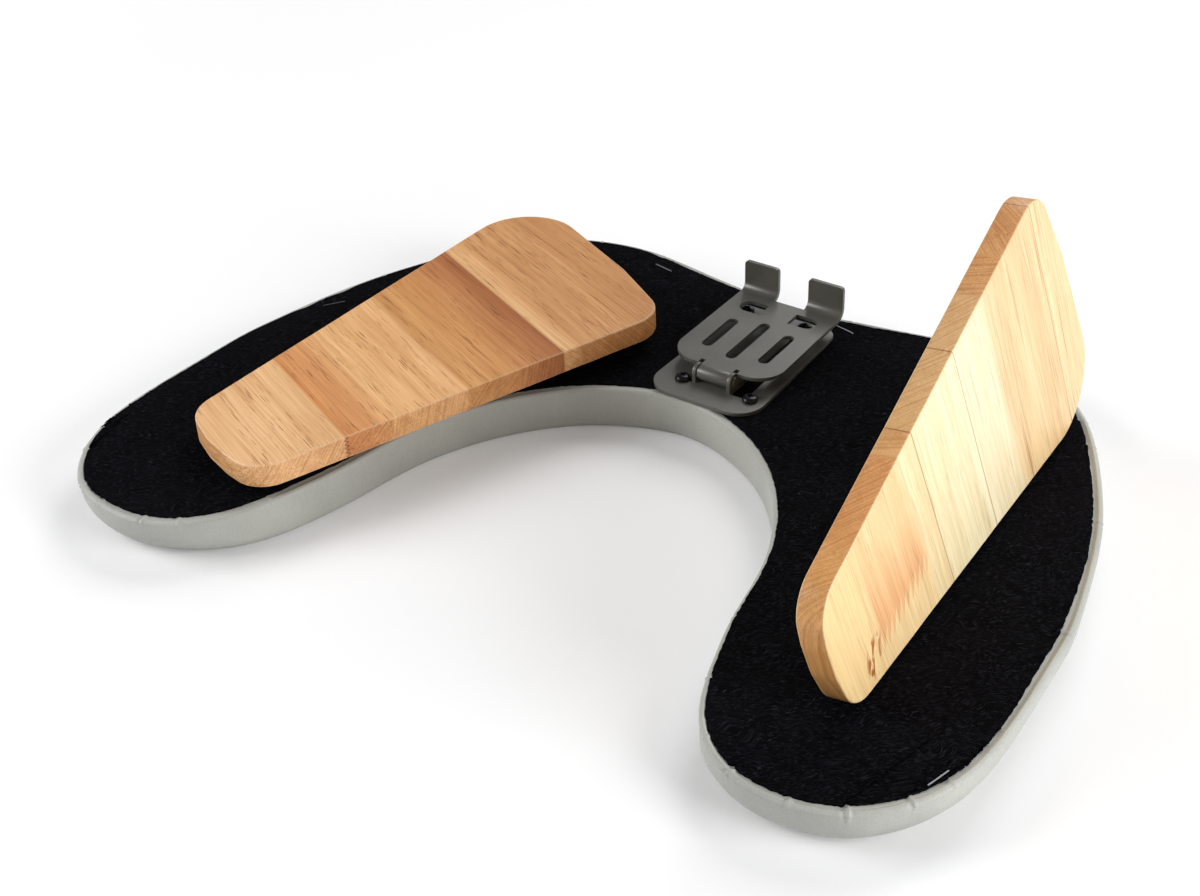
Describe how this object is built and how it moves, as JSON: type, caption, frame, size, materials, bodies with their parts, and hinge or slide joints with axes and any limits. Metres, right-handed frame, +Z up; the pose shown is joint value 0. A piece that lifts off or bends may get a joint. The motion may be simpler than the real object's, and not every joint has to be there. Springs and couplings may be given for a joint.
{
  "type": "folding rest board",
  "caption": "Horseshoe-shaped padded board with folding wooden leg wings and a tilting hooked device bracket, lying pad side down.",
  "frame": {"origin": "centre of the board's outline, on the floor the pad rests on", "axes": "+Z up with the pad facing down, +Y towards the closed bend of the U, +X across the arms towards the wing that stands open"},
  "size_m": [0.4722, 0.3378, 0.1608],
  "materials": {
    "skin": "satin",
    "felt": "matte",
    "plywood": "matte",
    "foam": "matte",
    "rubberwood": "satin",
    "hinge_steel": "satin",
    "bracket_paint": "satin",
    "black_screw": "gloss",
    "staple_wire": "satin"
  },
  "bodies": {
    "pad": {"base_board": "plywood", "foam_pad": "foam", "leather_cover": "skin", "felt_backing": "felt", "staples": "staple_wire", "left_front_board_leaf": "hinge_steel", "left_rear_board_leaf": "hinge_steel", "right_front_board_leaf": "hinge_steel", "right_rear_board_leaf": "hinge_steel", "left_front_pin": "hinge_steel", "left_rear_pin": "hinge_steel", "right_front_pin": "hinge_steel", "right_rear_pin": "hinge_steel", "hinge_board_screws": "hinge_steel", "bracket_base": "bracket_paint", "bracket_pin": "bracket_paint", "bracket_screws": "black_screw"},
    "left_wing": {"left_wing": "rubberwood", "left_front_wing_leaf": "hinge_steel", "left_rear_wing_leaf": "hinge_steel", "left_wing_screws": "hinge_steel"},
    "right_wing": {"right_wing": "rubberwood", "right_front_wing_leaf": "hinge_steel", "right_rear_wing_leaf": "hinge_steel", "right_wing_screws": "hinge_steel"},
    "bracket": {"bracket_plate": "bracket_paint"}
  },
  "joints": [
    {"name": "left_wing_fold", "type": "hinge", "parent": "pad", "child": "left_wing", "pos_m": [-0.1786, 0.0005, 0.0249], "axis": [-0.0436, -0.999, 0], "range_deg": [-1.5, 88.5]},
    {"name": "right_wing_fold", "type": "hinge", "parent": "pad", "child": "right_wing", "pos_m": [0.1624, -0.007, 0.0249], "axis": [-0.0384, 0.9993, 0], "range_deg": [-58, 6.5]},
    {"name": "bracket_tilt", "type": "hinge", "parent": "pad", "child": "bracket", "pos_m": [0.0067, 0.067, 0.0295], "axis": [1, 0, 0], "range_deg": [0, 120]}
  ]
}
